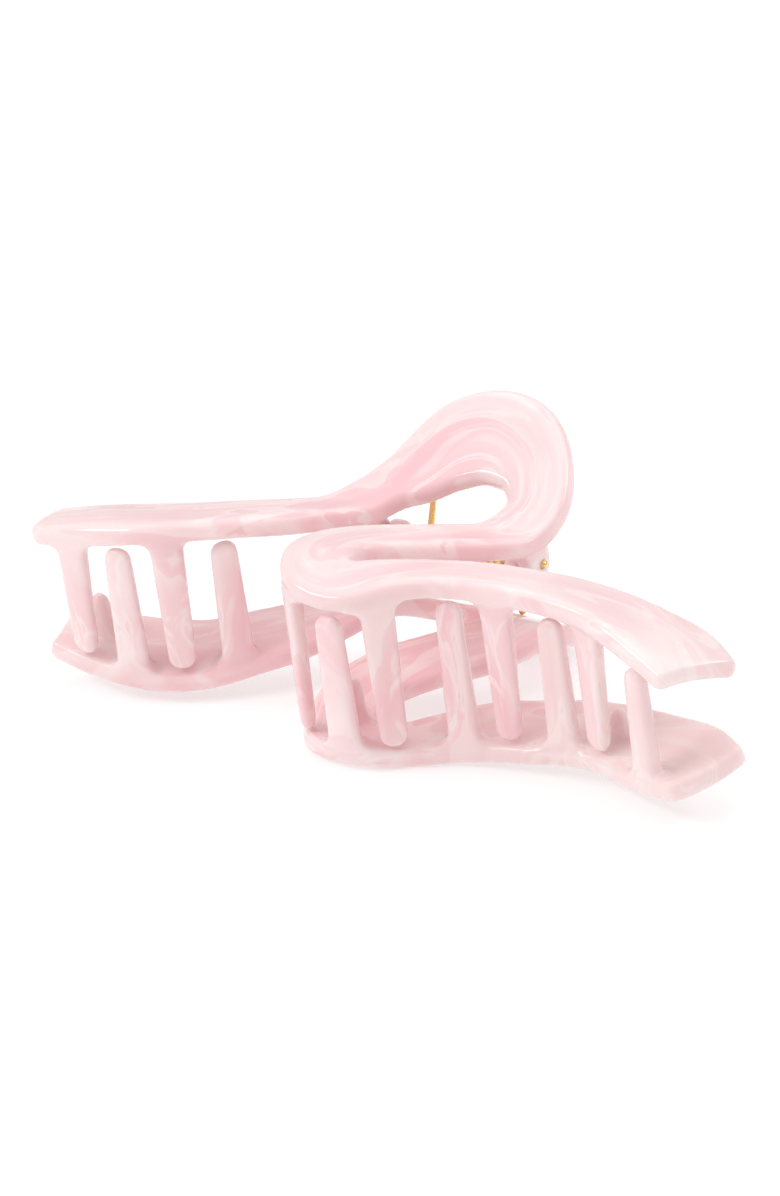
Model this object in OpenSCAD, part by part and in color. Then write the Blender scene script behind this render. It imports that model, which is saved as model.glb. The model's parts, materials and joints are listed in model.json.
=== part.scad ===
// Claw clip for hair: two mirror-image jaws, each one continuous ribbon, on a sprung hinge pin.
// The jaws are drawn about the hinge axis, X along the pin, -Y to the teeth, Z the way they open.
// The finished clip is then laid on its side on the table, where Z is up.

/* [Size] */
// Length over both arm tips, measured along the hinge
clip_length = 115; // [100:1:130]
// Thickness of the ribbon
ribbon_thickness = 3.2; // [2.8:0.1:3.6]

/* [Bow of the jaws] */
// Half height of the clip at its waist, just in front of the hinge
waist_height = 9.8; // [9.6:0.1:10.4]
// Slope of the jaws from the waist out to the teeth
front_slope = 0.265; // [0.25:0.005:0.28]
// How far the arms close in at their tips
tip_droop = 5; // [4.2:0.1:5.6]
// Slope of the finger handles behind the waist
handle_slope = 0.7; // [0.66:0.01:0.72]

/* [Teeth] */
// Width of a tooth where it leaves the ribbon
tooth_width = 4.9; // [4.4:0.1:5]
// Depth of a tooth from its outer face to its inner face
tooth_depth = 2.8; // [2.4:0.1:3]
// Gap between a tooth's tip and the other jaw
tip_gap = 0.5; // [0.3:0.1:1]

/* [Hinge] */
// Diameter of the hinge pin
pin_diameter = 1.3; // [1.2:0.1:1.6]
// Radial clearance of the pin in the moving lugs
pin_clearance = 0.05; // [0.03:0.01:0.1]
// Radius of the round end of each lug
lug_radius = 2.5; // [2.3:0.1:2.7]
// Thickness of each lug
lug_thickness = 2.5; // [2.2:0.1:2.6]
// Gap between neighbouring lugs
lug_gap = 0.3; // [0.2:0.05:0.4]
// Distance from the middle of the hinge to the outer face of the outer lugs
hinge_half_length = 14.4; // [14.2:0.1:14.8]

/* [Spring] */
// Diameter of the spring wire
wire_diameter = 1; // [0.8:0.1:1.1]
// Number of turns between the two legs
spring_turns = 10; // [7:1:10]

/* [Position on the table] */
// Tilt about the hinge axis, teeth down, as it comes to rest on its U-turn and one handle
rest_tilt = 6.85; // [5:0.05:9]

/* [Hidden] */
$fn = 48;

// The centre line of the ribbon in plan, with its width, for a clip 115 mm long:
// left arm, round the finger loop, back along the narrow bridge, U-turn, right arm.
nominal_length = 115;
k = clip_length / nominal_length;
route = [
    // left arm, from its tip
    [-54.2, -28.7, 9.6], [-45.2, -27.7, 12.6], [-38, -26.2, 13.3], [-31.5, -23.2, 12.2], [-26, -19, 11.4],
    [-21.2, -15.3, 10.6], [-17, -11, 9], [-13.4, -6.8, 7.8], [-9.8, -3, 7.6],
    // finger loop
    [-6.2, 0.2, 10.6], [-2.2, 3.8, 12.6], [3, 5.6, 12.4], [8, 5, 11.8], [11.9, 2.5, 10.4],
    [14.4, -2.1, 9.4], [13, -6.7, 9.2], [10.1, -10, 9.4],
    // bridge
    [6.4, -12.4, 10], [2.2, -15.4, 9.8],
    // U-turn
    [-2, -18.9, 10.4], [-4.9, -22.8, 10.6], [-5.4, -26.8, 10.6], [-4.6, -30.8, 10.5], [-2, -34.1, 10.7],
    [2.8, -35, 9.7],
    // right arm, to its tip
    [7.3, -32.1, 9.4], [12.6, -28.6, 9.4], [18.6, -25.8, 10.4], [25.2, -24.4, 11], [32, -23.4, 11.4],
    [39, -23.9, 12], [45.6, -25.9, 13.6], [51.8, -28.2, 14.6], [58, -31.7, 13]];

// Samples between two neighbouring route points
samples = 4;
// Rounding of the arm ends, and of the ribbon's outer and inner edges
end_radius = 2;
outer_edge_radius = 1.3;
inner_edge_radius = 0.7;
corner_steps = 3;

// Where the waist lies, how softly the plate turns there, and how it curls in again in front of the belly
waist_y = -7.5 * k;
waist_front_radius = 1 * k;
waist_back_radius = 3 * k;
belly_length = 20 * k;
belly_rise = 5.6 * k;
front_curl = 0.0286 / k;
droop_length = 56.4 * k;
droop_power = 2.9;
tip_flatness = 0.12;

// Places of the long teeth along the route, counted in route points from the left tip
upper_teeth = [0.77, 2.56, 22.58, 24.77, 27.62, 30.04];
lower_teeth = [1.67, 3.58, 23.77, 26.44, 28.93, 31.86];
// Root fillet of a tooth, and the most of a short tooth's length that it may take up
root_fillet = 1.7;
fillet_share = 0.4;
// Step from the ribbon's front edge back to a long tooth's outer face
tooth_step = 0.12;
// How far the fillet starts above the inner face, and how deep the root is sunk in the ribbon
root_dip = 0.25;
root_sink = 1.6;
// How much a tooth narrows from root to tip, the rounding of its tip, and what is left flat at its very end
tooth_taper = 0.2;
tip_rounding = 1.9;
tip_flat = 0.12;
// How square a tooth is across: 0 for a square, 1 for an oval
corner_power = 0.6;
// The lower jaw's short inner teeth: place along the route, distance from the front edge, length
inner_teeth = [[0.785, 5.4, 7], [22.84, 7.4, 8], [30.095, 4.6, 4]];
inner_tooth_width = 3.7;

// Hinge stack, from the outside in: upper lugs, lower lugs, coil
bore_radius = pin_diameter / 2 + pin_clearance;
hinge_middle_x = -1.2 * k;
outer_lug_x = hinge_half_length - lug_thickness / 2;
inner_lug_x = outer_lug_x - lug_thickness - lug_gap;
pin_proud = 0.7;
// Where a lug's web leaves its round end, in lug radii from the axis
web_foot = [0.85, -0.3];
// Front and back of each lug's web where it meets the plate
left_web = [-9.5, -3.5];
outer_right_web = [-6.5, 2.6];
inner_right_web = [-12, -7.2];

// Coil: wound loosely round the pin between the inner lugs. The legs leave it on the side of the teeth and
// lean back to the handles at leg_angle from the middle plane.
coil_radius = 2;
coil_end_gap = 0.3;
coil_right_x = hinge_middle_x + inner_lug_x - lug_thickness / 2 - wire_diameter / 2 - coil_end_gap;
coil_pitch = 1.2 * wire_diameter;
leg_angle = 67;
leg_length = 10.8;
steps_per_turn = 12;
wire_sides = 6;

// Lift of the hinge above the table, and the shift that centres the clip over the origin
hinge_lift = 19.3;
centre_shift = [-3.11, 12.7];

// ---- Smooth curve through the route points ----

function catmull(p0, p1, p2, p3, t) =
    0.5 * ((2 * p1) + (p2 - p0) * t + (2 * p0 - 5 * p1 + 4 * p2 - p3) * t * t
    + (3 * p1 - p0 - 3 * p2 + p3) * t * t * t);

function route_point(i) =
    i < 0 ? 2 * route[0] - route[1]
    : i > len(route) - 1 ? 2 * route[len(route) - 1] - route[len(route) - 2]
    : route[i];

// Position and width at a place counted in route points
function along(u) =
    let (i = min(floor(u), len(route) - 2), t = u - i)
    k * catmull(route_point(i - 1), route_point(i), route_point(i + 1), route_point(i + 2), t);

// Direction of travel, averaged over this much of the route so that the inner edges of the bends stay round
turn_window = 0.45;

function heading(u) =
    let (ahead = min(u + turn_window, len(route) - 1), behind = max(u - turn_window, 0),
        d = along(ahead) - along(behind), l = norm([d.x, d.y]))
    [d.x / l, d.y / l];

// ---- Height of the outer face of a jaw above the middle plane, and its normal ----

// Distance risen on a slope of 1 that starts softly, with this radius
function soft_rise(d, radius) = sqrt(d * d + radius * radius) - radius;

function plate_height(x, y) =
    let (ahead = max(waist_y - y, 0), behind = max(y - waist_y, 0),
        out = pow(abs(x) / droop_length, droop_power),
        front = front_slope * soft_rise(ahead, waist_front_radius)
            - front_curl * pow(max(ahead - belly_length, 0), 2))
    waist_height + front + tip_flatness * out * max(belly_rise - front, 0)
    + handle_slope * soft_rise(behind, waist_back_radius)
    - tip_droop * out;

function plate_normal(x, y) =
    let (e = 0.05,
        slope_x = (plate_height(x + e, y) - plate_height(x - e, y)) / (2 * e),
        slope_y = (plate_height(x, y + e) - plate_height(x, y - e)) / (2 * e),
        n = [-slope_x, -slope_y, 1])
    n / norm(n);

// ---- Cross-section of the ribbon: [across, below the outer face] ----

function corner(cu, cv, r, from, to) =
    [for (a = [from : (to - from) / corner_steps : to]) [cu + r * cos(a), cv + r * sin(a)]];

function section(half, thick, inset) =
    let (ro = max(outer_edge_radius - inset, 0.2), ri = max(inner_edge_radius - inset, 0.2),
        h = half - inset, top = -inset, low = -thick + inset)
    concat(corner(h - ro, top - ro, ro, 0, 90),
        [for (f = [0.5, 0, -0.5]) [f * h, top]],
        corner(-h + ro, top - ro, ro, 90, 180),
        corner(-h + ri, low + ri, ri, 180, 270),
        [for (f = [-0.5, 0, 0.5]) [f * h, low]],
        corner(h - ri, low + ri, ri, 270, 360));

// One ring of points on the ribbon; inset rounds the arm ends
function ring(u, inset) =
    let (p = along(u), d = heading(u), side = [-d.y, d.x])
    [for (s = section(p.z / 2, ribbon_thickness, inset))
        let (x = p.x - side.x * s.x, y = p.y - side.y * s.x)
        [x, y, plate_height(x, y)] + s.y * plate_normal(x, y)];

function end_inset(d) = inner_edge_radius * (1 - sqrt(max(0, 1 - pow(1 - min(d / end_radius, 1), 2))));

// ---- Solid swept through a list of rings ----

module skin(rings) {
    n = len(rings[0]);
    last = len(rings) - 1;
    faces = concat(
        [[for (j = [n - 1 : -1 : 0]) j]],
        [for (i = [0 : last - 1]) for (j = [0 : n - 1])
            [i * n + j, i * n + (j + 1) % n, (i + 1) * n + (j + 1) % n]],
        [for (i = [0 : last - 1]) for (j = [0 : n - 1])
            [i * n + j, (i + 1) * n + (j + 1) % n, (i + 1) * n + j]],
        [[for (j = [0 : n - 1]) last * n + j]]);
    polyhedron([for (r = rings) for (p = r) p], faces);
}

module ribbon() {
    last = len(route) - 1;
    first_step = norm(route[1] - route[0]);
    last_step = norm(route[last] - route[last - 1]);
    places = concat(
        [for (d = [0, 0.25, 0.8]) [d / first_step, end_inset(d)]],
        [for (u = [1 / samples : 1 / samples : last - 0.9 / samples]) [u, 0]],
        [for (d = [0.8, 0.25, 0]) [last - d / last_step, end_inset(d)]]);
    skin([for (p = places) ring(p[0], p[1])]);
}

// ---- Teeth ----

// Point of the plan at a place on the route, this far back from the front edge
function by_edge(u, back) =
    let (p = along(u), d = heading(u), across = back - p.z / 2)
    [p.x - d.y * across, p.y + d.x * across];

// Length of front edge between two route points, near u
function edge_pace(u) = norm(by_edge(u + 0.05, tooth_depth / 2) - by_edge(u - 0.05, tooth_depth / 2)) / 0.1;

function inner_face(u, back) = let (p = by_edge(u, back)) plate_height(p.x, p.y) - ribbon_thickness;

// A rounded rectangle across the tooth, bent along the edge, this far below the inner face.
// Only its inner side is widened by the fillet, and near the root it follows the face.
function tooth_ring(u, back, drop, half_width, half_depth, fillet) =
    let (top = inner_face(u, back), follow = max(1 - drop / (2 * root_fillet), 0))
    [for (a = [0 : 22.5 : 337.5])
        let (c = cos(a), s = sin(a),
            along_edge = half_width * sign(c) * pow(abs(c), corner_power),
            across = (half_depth + (s > 0 ? fillet : 0)) * sign(s) * pow(abs(s), corner_power),
            v = u + along_edge / edge_pace(u),
            p = by_edge(v, back + across))
        [p.x, p.y, top - drop + follow * (inner_face(v, back) - top)]];

// A tooth hangs from the inner face towards the other jaw: a filleted root, a slight taper, a round tip
module tooth(u, back, width, depth, length) {
    fillet = min(root_fillet, fillet_share * length);
    straight = length - fillet - tip_rounding;
    // each level: drop below the face, fillet, scale of the round tip
    levels = concat(
        [for (a = [0 : 22.5 : 90]) [fillet * (1 - cos(a)) - root_dip, fillet * (1 - sin(a)), 1]],
        [for (f = [0.15, 0.5]) [fillet + f * straight, 0, 1]],
        [for (a = [0 : 22.5 : 90]) [length - tip_rounding * (1 - sin(a)), 0, max(cos(a), tip_flat)]]);
    sunk = tooth_ring(u, back + depth / 2 + root_sink / 2, -root_sink, width / 2 + fillet, depth / 2, fillet);
    skin(concat([sunk], [for (l = levels)
        let (narrowed = 1 - tooth_taper * l[0] / length, half_depth = depth / 2 * narrowed)
        tooth_ring(u, back + half_depth, l[0], (width / 2 * narrowed + l[1]) * l[2],
            half_depth * l[2], l[1])]));
}

// Long teeth stop just short of the inner face of the other jaw
module long_tooth(u) {
    tooth(u, tooth_step, tooth_width, tooth_depth, 2 * inner_face(u, tooth_depth / 2) - tip_gap);
}

module plastic(teeth, short_teeth) {
    union() {
        ribbon();
        for (u = teeth) long_tooth(u);
        for (t = short_teeth) tooth(t[0], t[1], inner_tooth_width, tooth_depth, t[2]);
    }
}

// ---- Lugs: a round end on the hinge axis and a web up to the plate ----

module lug(x, web_front, web_back) {
    top_front = plate_height(x, web_front) - ribbon_thickness / 2;
    top_back = plate_height(x, web_back) - ribbon_thickness / 2;
    translate([x - lug_thickness / 2, 0, 0]) rotate([90, 0, 90]) linear_extrude(lug_thickness)
        polygon([lug_radius * [-web_foot.x, web_foot.y], [web_front, top_front], [web_back, top_back],
            lug_radius * web_foot]);
    translate([x - lug_thickness / 2, 0, 0]) rotate([0, 90, 0]) cylinder(h = lug_thickness, r = lug_radius);
}

module bores(radius) {
    translate([hinge_middle_x - hinge_half_length - 1, 0, 0]) rotate([0, 90, 0])
        cylinder(h = 2 * hinge_half_length + 2, r = radius);
}

module jaw(teeth, short_teeth, lug_x, right_web, bore) {
    difference() {
        union() {
            resize([0, 0, 0]) plastic(teeth, short_teeth);
            lug(hinge_middle_x + lug_x, right_web[0], right_web[1]);
            lug(hinge_middle_x - lug_x, left_web[0], left_web[1]);
        }
        bores(bore);
    }
}

// Lays the clip on the table
module resting() {
    translate([centre_shift.x, centre_shift.y, hinge_lift])
        rotate([rest_tilt, 0, 0]) children();
}

module upper_jaw() {
    color("pink") resting() jaw(upper_teeth, [], outer_lug_x, outer_right_web, bore_radius);
}

module lower_jaw() {
    color("pink") resting() mirror([0, 0, 1])
        jaw(lower_teeth, inner_teeth, inner_lug_x, inner_right_web, pin_diameter / 2);
}

module hinge_pin() {
    r = pin_diameter / 2;
    half = hinge_half_length + pin_proud - r;
    color("gold") resting() translate([hinge_middle_x, 0, 0]) rotate([0, 90, 0]) rotate_extrude()
        polygon(concat([[0, -half - r]], [for (a = [-80 : 10 : 0]) [r * cos(a), -half + r * sin(a)]],
            [for (a = [0 : 10 : 80]) [r * cos(a), half + r * sin(a)]], [[0, half + r]]));
}

// One wire: leg, coil, leg. Each ring of its surface lies across the wire.
function wire_ring(p, radial) =
    [for (a = [0 : 360 / wire_sides : 359])
        p + wire_diameter / 2 * (cos(a) * radial + sin(a) * [1, 0, 0])];

function around_axis(a) = [0, cos(a), sin(a)];

module torsion_spring() {
    first = 90 + leg_angle;
    last = 360 * (spring_turns + 1) - first;
    turn_part = coil_pitch / 360;
    left_x = coil_right_x - (last - first) * turn_part;
    count = round((last - first) / 360 * steps_per_turn);
    coil = [for (i = [0 : count])
        let (a = first + i / count * (last - first))
        wire_ring([left_x + (a - first) * turn_part, 0, 0] + coil_radius * around_axis(a), around_axis(a))];
    upper_leg = wire_ring([left_x, 0, 0] + coil_radius * around_axis(first)
        + leg_length * around_axis(leg_angle), around_axis(first));
    lower_leg = wire_ring([coil_right_x, 0, 0] + coil_radius * around_axis(last)
        + leg_length * around_axis(-leg_angle), around_axis(last));
    color("gold") resting() skin(concat([upper_leg], coil, [lower_leg]));
}

upper_jaw();
lower_jaw();
hinge_pin();
torsion_spring();
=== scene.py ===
import json
import math

import bmesh
import bpy
import numpy as np
from mathutils import Matrix, Vector


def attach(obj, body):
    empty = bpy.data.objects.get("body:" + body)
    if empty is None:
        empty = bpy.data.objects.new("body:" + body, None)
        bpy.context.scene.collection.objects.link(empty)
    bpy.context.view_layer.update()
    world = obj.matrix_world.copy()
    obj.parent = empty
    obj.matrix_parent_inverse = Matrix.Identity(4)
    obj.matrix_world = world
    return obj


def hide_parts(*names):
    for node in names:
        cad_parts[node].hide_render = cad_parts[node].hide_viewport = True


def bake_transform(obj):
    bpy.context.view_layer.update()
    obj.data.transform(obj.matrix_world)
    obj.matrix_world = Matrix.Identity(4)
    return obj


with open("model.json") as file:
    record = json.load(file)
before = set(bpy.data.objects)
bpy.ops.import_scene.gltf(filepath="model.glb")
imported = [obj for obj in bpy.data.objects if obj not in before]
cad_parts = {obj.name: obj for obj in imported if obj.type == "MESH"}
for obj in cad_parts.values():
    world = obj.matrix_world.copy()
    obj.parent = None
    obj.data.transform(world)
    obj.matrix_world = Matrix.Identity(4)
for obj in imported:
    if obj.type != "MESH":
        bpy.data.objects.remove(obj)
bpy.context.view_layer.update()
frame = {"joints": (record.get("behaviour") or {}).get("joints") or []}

MM = 0.001

# ---------------------------------------------------------------- the clip's own axes
# X along the hinge, -Y to the teeth, Z the way the jaws open. All shape work is in millimetres in
# these axes; rest() then lays it on the table as the CAD does.
HINGE = np.array(frame["joints"][0]["pos_m"])
HINGE_MIDDLE_X = -1.2
REST_TILT = math.radians(6.85)
CLIP_TURN = np.array(Matrix.Rotation(REST_TILT, 3, "X"))
CLIP_ORIGIN = HINGE - np.array([HINGE_MIDDLE_X, 0, 0]) * MM


def rest(points):
    return np.asarray(points) * MM @ CLIP_TURN.T + CLIP_ORIGIN


# ---------------------------------------------------------------- camera
# The photograph's view: 32 degrees round from the teeth's side, 25 above, with the clip leaning a
# little more and rolled a little more than it rests here. AIM is a point in the clip's own axes. The
# distance, the small move up the frame and the near limit are in metres, the lens in millimetres.
VIEW_AZ, VIEW_EL = math.radians(32), math.radians(25)
PHOTO_LEAN, PHOTO_ROLL = math.radians(7.5), math.radians(3.2)
AIM = np.array([-2.35, -17.484, 0])
CAMERA_DISTANCE = 0.94
FRAME_UP = 0.000723
LENS, SENSOR_WIDTH, NEAR_LIMIT = 195.65, 36, 0.05

photo_turn = np.array(Matrix.Rotation(-PHOTO_ROLL, 3, "Y") @ Matrix.Rotation(PHOTO_LEAN, 3, "X"))
back = np.array([math.sin(VIEW_AZ) * math.cos(VIEW_EL), -math.cos(VIEW_AZ) * math.cos(VIEW_EL),
                 math.sin(VIEW_EL)])
right = np.array([math.cos(VIEW_AZ), math.sin(VIEW_AZ), 0])
up = np.cross(back, right)
back, right, up = (CLIP_TURN @ photo_turn.T @ v for v in (back, right, up))
place = rest(AIM) + back * CAMERA_DISTANCE + up * FRAME_UP
camera_data = bpy.data.cameras.new("camera")
camera_data.lens = LENS
camera_data.sensor_width = SENSOR_WIDTH
camera_data.clip_start = NEAR_LIMIT
camera = bpy.data.objects.new("camera", camera_data)
bpy.context.scene.collection.objects.link(camera)
camera.matrix_world = Matrix([[right[i], up[i], back[i], place[i]] for i in range(3)] + [[0, 0, 0, 1]])
bpy.context.scene.camera = camera

# ---------------------------------------------------------------- the ribbon's shape, as in the CAD
# Each route point is the x and y of the ribbon's middle line in the plan, and the ribbon's width.
ROUTE = np.array([
    [-54.2, -28.7, 9.6], [-45.2, -27.7, 12.6], [-38, -26.2, 13.3], [-31.5, -23.2, 12.2], [-26, -19, 11.4],
    [-21.2, -15.3, 10.6], [-17, -11, 9], [-13.4, -6.8, 7.8], [-9.8, -3, 7.6],
    [-6.2, 0.2, 10.6], [-2.2, 3.8, 12.6], [3, 5.6, 12.4], [8, 5, 11.8], [11.9, 2.5, 10.4],
    [14.4, -2.1, 9.4], [13, -6.7, 9.2], [10.1, -10, 9.4],
    [6.4, -12.4, 10], [2.2, -15.4, 9.8],
    [-2, -18.9, 10.4], [-4.9, -22.8, 10.6], [-5.4, -26.8, 10.6], [-4.6, -30.8, 10.5], [-2, -34.1, 10.7],
    [2.8, -35, 9.7],
    [7.3, -32.1, 9.4], [12.6, -28.6, 9.4], [18.6, -25.8, 10.4], [25.2, -24.4, 11], [32, -23.4, 11.4],
    [39, -23.9, 12], [45.6, -25.9, 13.6], [51.8, -28.2, 14.6], [58, -31.7, 13]])
LAST = len(ROUTE) - 1
THICKNESS = 3.2
TURN_WINDOW = 0.45
SLOPE_STEP = 0.05
# how the plate's outer face rises from its waist to the teeth and the handle, and droops to the tips
WAIST_HEIGHT, WAIST_Y, WAIST_FRONT_RADIUS, WAIST_BACK_RADIUS = 9.8, -7.5, 1.0, 3.0
FRONT_SLOPE, HANDLE_SLOPE, BELLY_LENGTH, BELLY_RISE, FRONT_CURL = 0.265, 0.7, 20.0, 5.6, 0.0286
TIP_DROOP, DROOP_LENGTH, DROOP_POWER, TIP_FLATNESS = 5.0, 56.4, 2.9, 0.12
# places along the route; an inner tooth also has its distance back from the front edge and its length
UPPER_TEETH = [0.77, 2.56, 22.58, 24.77, 27.62, 30.04]
LOWER_TEETH = [1.67, 3.58, 23.77, 26.44, 28.93, 31.86]
INNER_TEETH = [(0.785, 5.4, 7.0), (22.84, 7.4, 8.0), (30.095, 4.6, 4.0)]
INNER_TOOTH_WIDTH = 3.7


def along(u):
    """Place and width of the ribbon at places u counted in route points."""
    points = np.vstack([2 * ROUTE[0] - ROUTE[1], ROUTE, 2 * ROUTE[-1] - ROUTE[-2]])
    u = np.clip(np.asarray(u, float), 0, LAST)
    i = np.minimum(u.astype(int), LAST - 1)
    t = (u - i)[..., None]
    p0, p1, p2, p3 = (points[i + k] for k in range(4))
    return 0.5 * (2 * p1 + (p2 - p0) * t + (2 * p0 - 5 * p1 + 4 * p2 - p3) * t ** 2
                  + (3 * p1 - p0 - 3 * p2 + p3) * t ** 3)


def heading(u):
    """The ribbon's direction in the plan."""
    d = (along(np.minimum(u + TURN_WINDOW, LAST)) - along(np.maximum(u - TURN_WINDOW, 0)))[..., :2]
    return d / np.linalg.norm(d, axis=-1, keepdims=True)


def soft_rise(d, radius):
    """A slope of 1 that starts gently."""
    return np.sqrt(d * d + radius * radius) - radius


def plate_height(x, y):
    """Height of the plate's outer face."""
    ahead, behind = np.maximum(WAIST_Y - y, 0), np.maximum(y - WAIST_Y, 0)
    out = np.abs(x / DROOP_LENGTH) ** DROOP_POWER
    curl = FRONT_CURL * np.maximum(ahead - BELLY_LENGTH, 0) ** 2
    front = FRONT_SLOPE * soft_rise(ahead, WAIST_FRONT_RADIUS) - curl
    return (WAIST_HEIGHT + front + TIP_FLATNESS * out * np.maximum(BELLY_RISE - front, 0)
            + HANDLE_SLOPE * soft_rise(behind, WAIST_BACK_RADIUS) - TIP_DROOP * out)


def plate_normal(x, y):
    e = SLOPE_STEP
    slope_x = (plate_height(x + e, y) - plate_height(x - e, y)) / (2 * e)
    slope_y = (plate_height(x, y + e) - plate_height(x, y - e)) / (2 * e)
    n = np.stack([-slope_x, -slope_y, np.ones_like(slope_x)], -1)
    return n / np.linalg.norm(n, axis=-1, keepdims=True)


def by_edge(u, back_from_edge):
    """Point of the plan this far back from the front edge."""
    p, d = along(u), heading(u)
    across = back_from_edge - p[..., 2] / 2
    return np.stack([p[..., 0] - d[..., 1] * across, p[..., 1] + d[..., 0] * across], -1)


def inner_face(u, back_from_edge):
    """Height of the plate's inner face there."""
    p = by_edge(u, back_from_edge)
    return plate_height(p[..., 0], p[..., 1]) - THICKNESS


def plan_steps(u):
    """Lengths in the plan from each of these places to the next."""
    return np.linalg.norm(np.diff(along(u)[:, :2], axis=0), axis=1)


# ---------------------------------------------------------------- mesh helpers
def circle(sides):
    """Angles spaced evenly round a circle."""
    return np.radians(np.arange(sides) * (360 / sides))


def skin(rings):
    """Closed tube through rings of equal length: vertices and faces."""
    rings = np.asarray(rings, float)
    m, n = rings.shape[:2]
    j = np.arange(n)
    k = (j + 1) % n
    faces = [list(j[::-1])]
    for i in range(m - 1):
        a, b = i * n, (i + 1) * n
        faces += np.stack([a + j, a + k, b + k, b + j], 1).tolist()
    faces.append(list((m - 1) * n + j))
    return rings.reshape(-1, 3), faces


def joined(shells):
    """Several shells as one list of vertices and faces."""
    verts, faces, base = [], [], 0
    for v, f in shells:
        verts.append(v)
        faces += [[base + i for i in face] for face in f]
        base += len(v)
    return np.vstack(verts), faces


def new_mesh(name, verts, faces):
    mesh = bpy.data.meshes.new(name)
    mesh.from_pydata([tuple(v) for v in verts], [], faces)
    mesh.update()
    return mesh


def new_object(name, mesh):
    obj = bpy.data.objects.new(name, mesh)
    bpy.context.scene.collection.objects.link(obj)
    return obj


def outward(mesh):
    """Turns every face outwards."""
    bm = bmesh.new()
    bm.from_mesh(mesh)
    bmesh.ops.recalc_face_normals(bm, faces=bm.faces)
    bm.to_mesh(mesh)
    bm.free()


def without_slivers(mesh, distance):
    """Closes up edges shorter than this, and the faces that leaves flat."""
    bm = bmesh.new()
    bm.from_mesh(mesh)
    bmesh.ops.remove_doubles(bm, verts=bm.verts, dist=distance)
    bmesh.ops.dissolve_degenerate(bm, edges=bm.edges, dist=distance / 10)
    bmesh.ops.triangulate(bm, faces=bm.faces)
    bm.to_mesh(mesh)
    bm.free()


def evaluated_mesh(obj, name):
    """The object's mesh with its modifiers applied."""
    graph = bpy.context.evaluated_depsgraph_get()
    mesh = bpy.data.meshes.new_from_object(obj.evaluated_get(graph))
    mesh.name = name
    return mesh


# ---------------------------------------------------------------- the jaws
EDGE_OUT, EDGE_IN, LEAST_EDGE = 1.35, 0.8, 0.2
SECTION_ARC = 7
FLAT_SHARE, FLAT_POINTS = 0.75, 5
STEP = 1 / 12
END_STEPS = [0, 0.05, 0.15, 0.35, 0.65, 1.0]


def arc(cu, cv, r, start, end, count=SECTION_ARC):
    a = np.radians(np.linspace(start, end, count))
    return np.stack([cu + r * np.cos(a), cv + r * np.sin(a)], 1)


def section(half, inset):
    """The ribbon's rounded section, this far in from its full size."""
    ro, ri = max(EDGE_OUT - inset, LEAST_EDGE), max(EDGE_IN - inset, LEAST_EDGE)
    h, top, low = half - inset, -inset, -THICKNESS + inset
    flat = np.linspace(FLAT_SHARE, -FLAT_SHARE, FLAT_POINTS)
    return np.vstack([
        arc(h - ro, top - ro, ro, 0, 90), np.stack([flat * (h - ro), np.full(FLAT_POINTS, top)], 1),
        arc(-h + ro, top - ro, ro, 90, 180), arc(-h + ri, low + ri, ri, 180, 270),
        np.stack([-flat * (h - ri), np.full(FLAT_POINTS, low)], 1), arc(h - ri, low + ri, ri, 270, 360)])


def ribbon_ring(u, inset):
    p, d = along(u), heading(u)
    s = section(p[2] / 2, inset)
    x, y = p[0] + d[1] * s[:, 0], p[1] - d[0] * s[:, 0]
    return np.stack([x, y, plate_height(x, y)], 1) + s[:, 1:] * plate_normal(x, y)


def ribbon():
    """The swept ribbon, with the last millimetre of both ends rounded over."""
    ends = [(d, 1 - math.sqrt(1 - (1 - d) ** 2)) for d in END_STEPS]
    first, last = (np.linalg.norm(ROUTE[a, :2] - ROUTE[b, :2]) for a, b in ((1, 0), (-1, -2)))
    places = [(d / first, inset) for d, inset in ends]
    places += [(u, 0) for u in np.arange(3 * STEP, LAST - 2.5 * STEP, STEP)]
    places += [(LAST - d / last, inset) for d, inset in ends[::-1]]
    return skin([ribbon_ring(u, i) for u, i in places])


TOOTH_WIDTH, TOOTH_DEPTH, TIP_GAP = 4.9, 2.8, 0.5
ROOT_FILLET, ROOT_SINK, TAPER, TIP_ROUNDING, CORNER_POWER = 1.9, 1.6, 0.2, 2.0, 0.6
FILLET_SHARE, TIP_FLAT = 0.4, 0.08
PACE_STEP = 0.05
AROUND = circle(36)
QUARTER = np.radians(np.linspace(0, 90, 7))


def tooth_ring(u, back_from_edge, drop, half_width, half_depth, fillet):
    """A ring round a tooth, which near the root follows the inner face."""
    c, s = np.cos(AROUND), np.sin(AROUND)
    top = inner_face(u, back_from_edge)
    follow = max(1 - drop / (2 * ROOT_FILLET), 0)
    before, after = (by_edge(u + step, TOOTH_DEPTH / 2) for step in (-PACE_STEP, PACE_STEP))
    pace = np.linalg.norm(after - before) / (2 * PACE_STEP)
    v = u + half_width * np.sign(c) * np.abs(c) ** CORNER_POWER / pace
    across = (half_depth + np.where(s > 0, fillet, 0)) * np.sign(s) * np.abs(s) ** CORNER_POWER
    p = by_edge(v, back_from_edge + across)
    return np.column_stack([p, top - drop + follow * (inner_face(v, back_from_edge) - top)])


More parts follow.
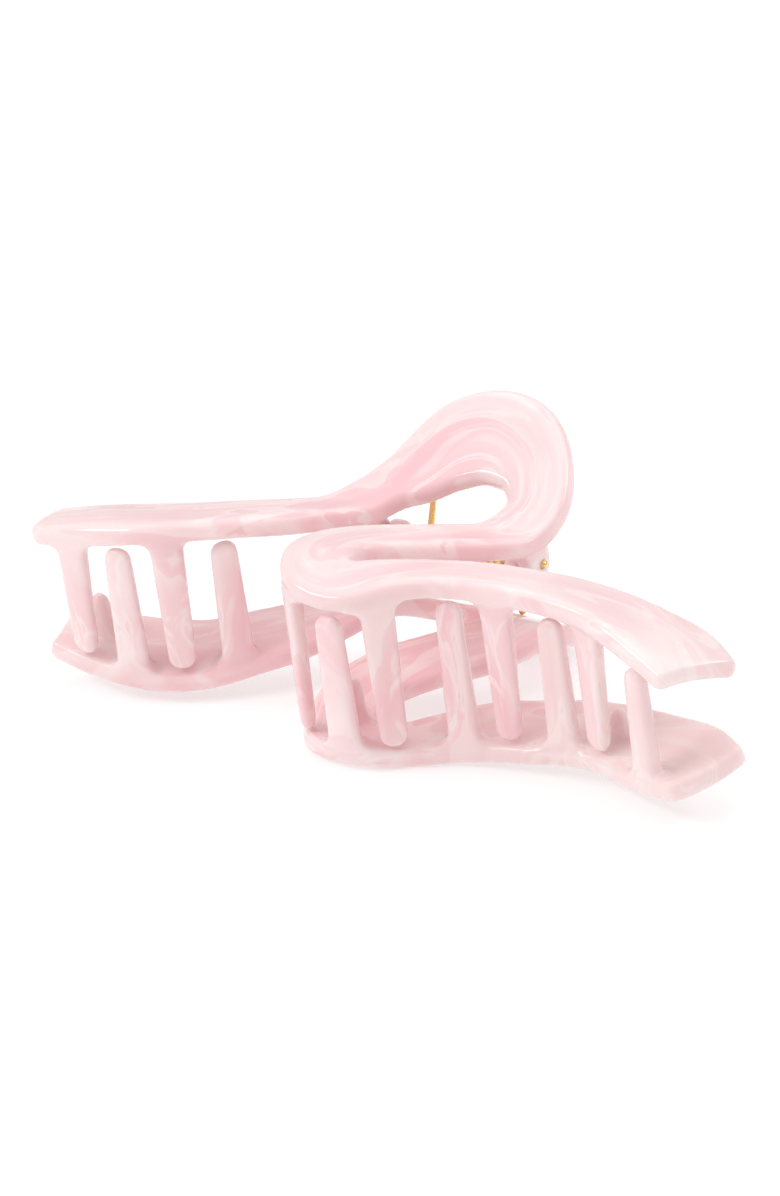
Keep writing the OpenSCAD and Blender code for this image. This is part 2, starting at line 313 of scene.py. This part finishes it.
def tooth(u, back_from_edge, width, depth, length):
    """One tooth: sunk into the plate, filleted at its root, tapered and rounded at its tip."""
    root = min(ROOT_FILLET, FILLET_SHARE * length)
    straight = length - root - TIP_ROUNDING
    # each level: the drop below the inner face, the fillet's width and the scale of the section
    levels = [(root * (1 - math.cos(a)), root * (1 - math.sin(a)), 1) for a in QUARTER]
    levels += [(root + f * straight, 0, 1) for f in (0.1, 0.3, 0.5, 0.7, 0.9)]
    levels += [(length - TIP_ROUNDING * (1 - math.sin(a)), 0, max(math.cos(a), TIP_FLAT)) for a in QUARTER]
    rings = [tooth_ring(u, back_from_edge + depth / 2 + ROOT_SINK / 2, -ROOT_SINK,
                        width / 2 + root, depth / 2, root)]
    for drop, fillet, scale in levels:
        narrowed = 1 - TAPER * drop / length
        half_width, half_depth = width / 2 * narrowed + fillet, depth / 2 * narrowed
        rings.append(tooth_ring(u, back_from_edge + half_depth, drop,
                                half_width * scale, half_depth * scale, fillet))
    return skin(rings)


def long_tooth(u):
    """A tooth at the front edge, as long as the room down to the other jaw."""
    return tooth(u, 0, TOOTH_WIDTH, TOOTH_DEPTH, 2 * inner_face(u, TOOTH_DEPTH / 2) - TIP_GAP)


LUG_RADIUS, LUG_THICKNESS, LUG_GAP, HINGE_HALF = 2.5, 2.5, 0.3, 14.4
OUTER_LUG_X = HINGE_HALF - LUG_THICKNESS / 2
INNER_LUG_X = OUTER_LUG_X - LUG_THICKNESS - LUG_GAP
LEFT_WEB, OUTER_RIGHT_WEB, INNER_RIGHT_WEB = (-9.5, -3.5), (-6.5, 2.6), (-12, -7.2)
LUG_BEVEL, BEVEL_MIDDLE = 0.35, 0.1
LUG_ROUND = np.radians(np.arange(-20, -161, -10))


def hinge_ring(x, radius, sides):
    """A circle round the hinge axis, this far from the hinge's middle."""
    a = circle(sides)
    return np.column_stack([np.full(sides, HINGE_MIDDLE_X + x), radius * np.cos(a), radius * np.sin(a)])


def lug(x, web):
    """One lug: a round end on the hinge axis and a web up to the plate, with its edges eased."""
    top = [plate_height(x, y) - THICKNESS / 2 for y in web]
    outline = np.vstack([LUG_RADIUS * np.stack([np.cos(LUG_ROUND), np.sin(LUG_ROUND)], 1),
                         [[web[0], top[0]], [web[1], top[1]]]])
    inwards = outline.mean(0) - outline
    reach = np.linalg.norm(inwards, axis=1, keepdims=True)
    bevel = [(0, LUG_BEVEL), (BEVEL_MIDDLE, BEVEL_MIDDLE), (LUG_BEVEL, 0)]
    rings = []
    for d, inset in bevel + [(LUG_THICKNESS - d, inset) for d, inset in bevel[::-1]]:
        eased = outline + inset * inwards / reach
        rings.append(np.column_stack([np.full(len(eased), x - LUG_THICKNESS / 2 + d), eased]))
    return skin(rings)


VOXEL = 0.325
SMOOTH_SHARE, SMOOTH_STEPS = 0.5, 8
SLIVER = 0.02
UPPER_BORE, LOWER_BORE, BORE_OVERRUN, BORE_SIDES = 0.7, 0.65, 1, 48


def grown(name, shells):
    """The shells grown into one skin, as a working object."""
    raw = new_mesh(name + "_raw", *joined(shells))
    outward(raw)
    obj = new_object(name + "_raw", raw)
    remesh = obj.modifiers.new("skin", "REMESH")
    remesh.mode = "VOXEL"
    remesh.voxel_size = VOXEL
    smooth = obj.modifiers.new("smooth", "SMOOTH")
    smooth.factor = SMOOTH_SHARE
    smooth.iterations = SMOOTH_STEPS
    mesh = evaluated_mesh(obj, name)
    obj.modifiers.clear()
    obj.data = mesh
    return obj


def bored(obj, name, radius):
    """The working object's mesh with the hinge bores cut. The object itself goes."""
    ends = [hinge_ring(s * (HINGE_HALF + BORE_OVERRUN), radius, BORE_SIDES) for s in (-1, 1)]
    cutter_mesh = new_mesh(name + "_bore", *skin(ends))
    outward(cutter_mesh)
    cutter = new_object(name + "_bore", cutter_mesh)
    cut = obj.modifiers.new("bore", "BOOLEAN")
    cut.operation = "DIFFERENCE"
    cut.solver = "MANIFOLD"
    cut.object = cutter
    mesh = evaluated_mesh(obj, name)
    without_slivers(mesh, SLIVER)
    for o in (obj, cutter):
        bpy.data.objects.remove(o)
    return mesh


ROUTE_SAMPLES, CHUNK = 16, 4096
TURN_DEPTH, PRESS, PRESS_REACH = 5.0, 3.5, 4
JAW_OFFSET = 400.0


def grain(co, tooth_places):
    """How far along the ribbon, across it and below its face each point lies."""
    u = np.linspace(0, LAST, LAST * ROUTE_SAMPLES + 1)
    line = along(u)
    length = np.concatenate([[0], np.cumsum(plan_steps(u))])
    nearest = np.empty(len(co), int)
    for i in range(0, len(co), CHUNK):
        d = ((co[i:i + CHUNK, None, :2] - line[None, :, :2]) ** 2).sum(2)
        nearest[i:i + CHUNK] = np.argmin(d, 1)
    way = heading(u)[nearest]
    off = co[:, :2] - line[nearest, :2]
    flow = np.column_stack([length[nearest] + (off * way).sum(1),
                            way[:, 0] * off[:, 1] - way[:, 1] * off[:, 0],
                            plate_height(co[:, 0], co[:, 1]) - co[:, 2]])
    # down a tooth the grain turns and runs lengthwise: the pattern is pressed together across each tooth
    centres = np.interp(tooth_places, u, length)
    own = centres[np.argmin(np.abs(flow[:, 0, None] - centres), 1)]
    down = np.clip((flow[:, 2] - THICKNESS) / TURN_DEPTH, 0, 1)
    down = down * down * (3 - 2 * down)
    flow[:, 0] += PRESS * down * np.clip(flow[:, 0] - own, -PRESS_REACH, PRESS_REACH)
    return flow


def jaw(name, side, teeth, inner, lug_x, right_web, bore_radius):
    """One jaw, side +1 or -1: ribbon, teeth and lugs grown into one skin, then its bores."""
    shells = [ribbon()] + [long_tooth(u) for u in teeth]
    shells += [tooth(u, b, INNER_TOOTH_WIDTH, TOOTH_DEPTH, length) for u, b, length in inner]
    shells += [lug(HINGE_MIDDLE_X + lug_x, right_web), lug(HINGE_MIDDLE_X - lug_x, LEFT_WEB)]
    mesh = bored(grown(name, shells), name, bore_radius)
    co = np.empty(len(mesh.vertices) * 3)
    mesh.vertices.foreach_get("co", co)
    co = co.reshape(-1, 3)
    flow = grain(co, list(teeth) + [t[0] for t in inner])
    # the two jaws take their marbling from places far apart in the pattern
    flow[:, 0] += JAW_OFFSET if side < 0 else 0
    attribute = mesh.attributes.new("flow", "FLOAT_VECTOR", "POINT")
    attribute.data.foreach_set("vector", flow.astype(np.float32).ravel())
    co[:, 2] *= side
    mesh.vertices.foreach_set("co", rest(co).ravel())
    if side < 0:
        mesh.flip_normals()
    mesh.shade_smooth()
    mesh.update()
    return new_object(name, mesh)


upper = jaw("upper_jaw_look", 1, UPPER_TEETH, [], OUTER_LUG_X, OUTER_RIGHT_WEB, UPPER_BORE)
lower = jaw("lower_jaw_look", -1, LOWER_TEETH, INNER_TEETH, INNER_LUG_X, INNER_RIGHT_WEB, LOWER_BORE)

# ---------------------------------------------------------------- pin and spring
PIN_RADIUS, PIN_PROUD, PIN_SIDES, PIN_POLE = 0.65, 0.7, 24, 0.02


def metal_piece(name, rings):
    verts, faces = skin(rings)
    mesh = new_mesh(name, rest(verts), faces)
    outward(mesh)
    mesh.shade_smooth()
    return new_object(name, mesh)


def pin():
    """A round pin with domed ends."""
    half = HINGE_HALF + PIN_PROUD
    profile = [(-half + PIN_RADIUS * (1 - math.cos(a)), max(PIN_RADIUS * math.sin(a), PIN_POLE))
               for a in QUARTER]
    profile += [(-x, r) for x, r in profile[::-1]]
    return metal_piece("hinge_pin_look", [hinge_ring(x, r, PIN_SIDES) for x, r in profile])


WIRE, TURNS, COIL_RADIUS, LEG_ANGLE, LEG_LENGTH = 1.0, 10, 2.0, 67, 10.8
COIL_PITCH, COIL_CLEARANCE = 1.2 * WIRE, 0.3
COIL_RIGHT_X = HINGE_MIDDLE_X + INNER_LUG_X - LUG_THICKNESS / 2 - WIRE / 2 - COIL_CLEARANCE
LEG_PLACES = (0.25, 0.5, 0.75, 0.98, 1.0)
WIRE_SIDES, WIRE_END_SHARE = 16, 0.7
STEPS_PER_TURN = 32


def spring():
    """One wire: a leg to the upper handle, the coil round the pin, a leg to the lower handle."""
    first, last = 90 + LEG_ANGLE, 360 * (TURNS + 1) - (90 + LEG_ANGLE)
    left_x = COIL_RIGHT_X - (last - first) * COIL_PITCH / 360
    count = round((last - first) / 360 * STEPS_PER_TURN)
    a = np.radians(np.linspace(first, last, count + 1))
    radial = np.column_stack([np.zeros(len(a)), np.cos(a), np.sin(a)])
    path = COIL_RADIUS * radial
    path[:, 0] = left_x + np.linspace(0, 1, count + 1) * (COIL_RIGHT_X - left_x)
    legs = []
    for end, angle in ((0, LEG_ANGLE), (-1, -LEG_ANGLE)):
        way = np.array([0, math.cos(math.radians(angle)), math.sin(math.radians(angle))])
        legs.append([path[end] + way * LEG_LENGTH * f for f in LEG_PLACES])
    path = np.vstack([legs[0][::-1], path, legs[1]])
    radial = np.vstack([[radial[0]] * len(LEG_PLACES), radial, [radial[-1]] * len(LEG_PLACES)])
    thick = np.full(len(path), WIRE / 2)
    thick[[0, -1]] *= WIRE_END_SHARE
    t = circle(WIRE_SIDES)
    rings = [p + r * (np.cos(t)[:, None] * n + np.sin(t)[:, None] * np.array([1, 0, 0]))
             for p, n, r in zip(path, radial, thick)]
    return metal_piece("torsion_spring_look", rings), left_x


pin_piece = pin()
spring_piece, spring_left_x = spring()

# ---------------------------------------------------------------- materials
def srgb(*levels):
    """A screen colour, 0 to 255, as Blender's linear colour."""
    shares = [c / 255 for c in levels]
    return (*(c / 12.92 if c <= 0.04045 else ((c + 0.055) / 1.055) ** 2.4 for c in shares), 1)


PALE_PINK, DEEP_PINK = srgb(243, 209, 212), srgb(239, 195, 200)
VEIL, STREAK, CREAM = srgb(247, 229, 228), srgb(250, 240, 238), srgb(240, 231, 227)
PALE_GOLD, DEEP_GOLD = srgb(255, 228, 165), srgb(240, 200, 125)


def new_material(name):
    mat = bpy.data.materials.new(name)
    mat.use_nodes = True
    tree = mat.node_tree
    return mat, tree, tree.nodes["Principled BSDF"]


def feed(tree, node, inputs):
    """Links or sets each of a node's inputs."""
    for key, value in inputs.items():
        if isinstance(value, bpy.types.NodeSocket):
            tree.links.new(value, node.inputs[key])
        else:
            node.inputs[key].default_value = value


def add(tree, kind, settings, inputs):
    node = tree.nodes.new(kind)
    for key, value in settings.items():
        setattr(node, key, value)
    feed(tree, node, inputs)
    return node


def noise(tree, vector, scale, detail, roughness, distortion):
    return add(tree, "ShaderNodeTexNoise", {}, {"Vector": vector, "Scale": scale, "Detail": detail,
               "Roughness": roughness, "Distortion": distortion}).outputs["Fac"]


def ramp(tree, value, stops):
    """Grey levels at places along the value, eased from one to the next."""
    node = add(tree, "ShaderNodeValToRGB", {}, {"Fac": value})
    node.color_ramp.interpolation = "EASE"
    while len(node.color_ramp.elements) < len(stops):
        node.color_ramp.elements.new(0.5)
    for element, (position, grey) in zip(node.color_ramp.elements, stops):
        element.position = position
        element.color = (grey, grey, grey, 1)
    return node.outputs["Color"]


def math_node(tree, operation, a, b, clamp=False):
    settings = {"operation": operation, "use_clamp": clamp}
    return add(tree, "ShaderNodeMath", settings, {0: a, 1: b}).outputs[0]


def map_range(tree, value, source, target):
    ends = {"From Min": source[0], "From Max": source[1], "To Min": target[0], "To Max": target[1]}
    return add(tree, "ShaderNodeMapRange", {}, {"Value": value, **ends}).outputs["Result"]


def mix(tree, factor, a, b):
    """A mix of two colours, which are the node's inputs 6 and 7."""
    return add(tree, "ShaderNodeMix", {"data_type": "RGBA"}, {0: factor, 6: a, 7: b}).outputs[2]


GRAIN_SCALE = (0.024, 0.085, 0.03)
BEND = (1.1, 1.1, 1.1)
ribbon_length = float(plan_steps(np.linspace(0, LAST, 500)).sum())
MILKY_END, MILKY_AMOUNT = (4.0, 30.0), (0.6, 0.0)
VEIL_AMOUNT, STREAK_AMOUNT, CREAM_AMOUNT = 0.7, 0.6, 0.5
FINE_NOISE = (0.3, 0.7)
PLASTIC_ROUGHNESS, GOLD_ROUGHNESS = (0.07, 0.13), (0.16, 0.3)


def marbled_plastic():
    mat, tree, shader = new_material("marbled_plastic_look")
    flow = add(tree, "ShaderNodeAttribute", {"attribute_name": "flow"}, {}).outputs["Vector"]
    # the grain runs along the ribbon: stretch the pattern that way, then bend it softly
    stretched = add(tree, "ShaderNodeVectorMath", {"operation": "MULTIPLY"},
                    {0: flow, 1: GRAIN_SCALE}).outputs["Vector"]
    bend = add(tree, "ShaderNodeTexNoise", {},
               {"Vector": stretched, "Scale": 1.1, "Detail": 1.5}).outputs["Color"]
    bend = add(tree, "ShaderNodeVectorMath", {"operation": "MULTIPLY_ADD"},
               {0: bend, 1: BEND, 2: stretched}).outputs["Vector"]
    pink = mix(tree, ramp(tree, noise(tree, bend, 1.2, 2.0, 0.45, 0.3), [(0.35, 0), (0.68, 1)]),
               PALE_PINK, DEEP_PINK)
    # milky veils: they build up slowly and end on a clean edge
    veil = ramp(tree, noise(tree, bend, 1.0, 2.5, 0.45, 0.7),
                [(0.42, 0), (0.565, 0.9), (0.575, 0.15), (0.64, 0.0), (0.8, 0.5)])
    streak = ramp(tree, noise(tree, bend, 2.6, 3.0, 0.5, 1.0), [(0.48, 0), (0.62, 0.8), (0.65, 0.0)])
    cream = ramp(tree, noise(tree, bend, 0.6, 2.0, 0.5, 0.4), [(0.50, 0), (0.68, 0.85)])
    # the arms' ends are the milkiest part
    travel = add(tree, "ShaderNodeSeparateXYZ", {}, {0: flow}).outputs["X"]
    travel = math_node(tree, "MODULO", travel, JAW_OFFSET)
    to_end = math_node(tree, "MINIMUM", travel, math_node(tree, "SUBTRACT", ribbon_length, travel))
    milky = map_range(tree, to_end, MILKY_END, MILKY_AMOUNT)
    cream = math_node(tree, "ADD", cream, milky, clamp=True)
    colour = mix(tree, math_node(tree, "MULTIPLY", veil, VEIL_AMOUNT), pink, VEIL)
    colour = mix(tree, math_node(tree, "MULTIPLY", streak, STREAK_AMOUNT), colour, STREAK)
    colour = mix(tree, math_node(tree, "MULTIPLY", cream, CREAM_AMOUNT), colour, CREAM)
    # a hand-polished surface: nearly clear gloss with faint unevenness
    fine = noise(tree, flow, 0.35, 3.0, 0.5, 0.0)
    rough = map_range(tree, fine, FINE_NOISE, PLASTIC_ROUGHNESS)
    bump = add(tree, "ShaderNodeBump", {},
               {"Height": fine, "Strength": 0.05, "Distance": 0.0002}).outputs["Normal"]
    feed(tree, shader, {"Base Color": colour, "Roughness": rough, "Normal": bump, "IOR": 1.49,
                        "Subsurface Weight": 0.5, "Subsurface Radius": (1.0, 0.6, 0.55),
                        "Subsurface Scale": 0.002})
    return mat


def gold_metal():
    mat, tree, shader = new_material("gold_metal_look")
    place_in = add(tree, "ShaderNodeTexCoord", {}, {}).outputs["Object"]
    fine = noise(tree, place_in, 900.0, 3.0, 0.6, 0.0)
    feed(tree, shader, {"Base Color": mix(tree, fine, PALE_GOLD, DEEP_GOLD),
                        "Roughness": map_range(tree, fine, FINE_NOISE, GOLD_ROUGHNESS), "Metallic": 1.0})
    return mat


plastic_look, gold_look = marbled_plastic(), gold_metal()
for piece, look in ((upper, plastic_look), (lower, plastic_look),
                    (pin_piece, gold_look), (spring_piece, gold_look)):
    piece.data.materials.clear()
    piece.data.materials.append(look)

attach(upper, "upper")
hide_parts("upper_jaw")
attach(lower, "lower")
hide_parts("lower_jaw")
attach(pin_piece, "lower")
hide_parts("hinge_pin")
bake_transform(spring_piece)
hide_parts("torsion_spring")

# ---------------------------------------------------------------- floor and light
FLOOR_HALF = 3.0
FLOOR_GREY, FLOOR_GLOW, WORLD_GLOW = 0.58, 0.47, 0.59
WHITE = (1, 1, 1, 1)
CLIP_MIDDLE = (0, 0, 0.02)
floor_mesh = new_mesh("floor", [(-FLOOR_HALF, -FLOOR_HALF, 0), (FLOOR_HALF, -FLOOR_HALF, 0),
                                (FLOOR_HALF, FLOOR_HALF, 0), (-FLOOR_HALF, FLOOR_HALF, 0)], [[0, 1, 2, 3]])
floor = new_object("floor", floor_mesh)
floor_look, floor_tree, floor_shader = new_material("floor_look")
feed(floor_tree, floor_shader, {"Base Color": (FLOOR_GREY, FLOOR_GREY, FLOOR_GREY, 1),
                                "Emission Color": WHITE, "Emission Strength": FLOOR_GLOW,
                                "Roughness": 0.7, "Specular IOR Level": 0.1})
floor_mesh.materials.append(floor_look)

world = bpy.data.worlds.new("studio")
bpy.context.scene.world = world
world.use_nodes = True
feed(world.node_tree, world.node_tree.nodes["Background"], {"Color": WHITE, "Strength": WORLD_GLOW})


def softbox(name, where, size, watts):
    """A soft area light turned to the clip."""
    data = bpy.data.lights.new(name, "AREA")
    data.shape = "RECTANGLE"
    data.size, data.size_y = size
    data.energy = watts
    light = bpy.data.objects.new(name, data)
    bpy.context.scene.collection.objects.link(light)
    way = Vector(where) - Vector(CLIP_MIDDLE)
    light.matrix_world = Matrix.Translation(where) @ way.to_track_quat("Z", "Y").to_matrix().to_4x4()


softbox("overhead", (0, 0.1, 1.2), (1.5, 1.5), 6.1)
softbox("key", (-0.45, -0.5, 0.6), (0.6, 0.16), 2.5)
softbox("rim", (0.6, 0.3, 0.65), (0.4, 0.2), 1.4)

bpy.context.scene.view_settings.view_transform = "Standard"
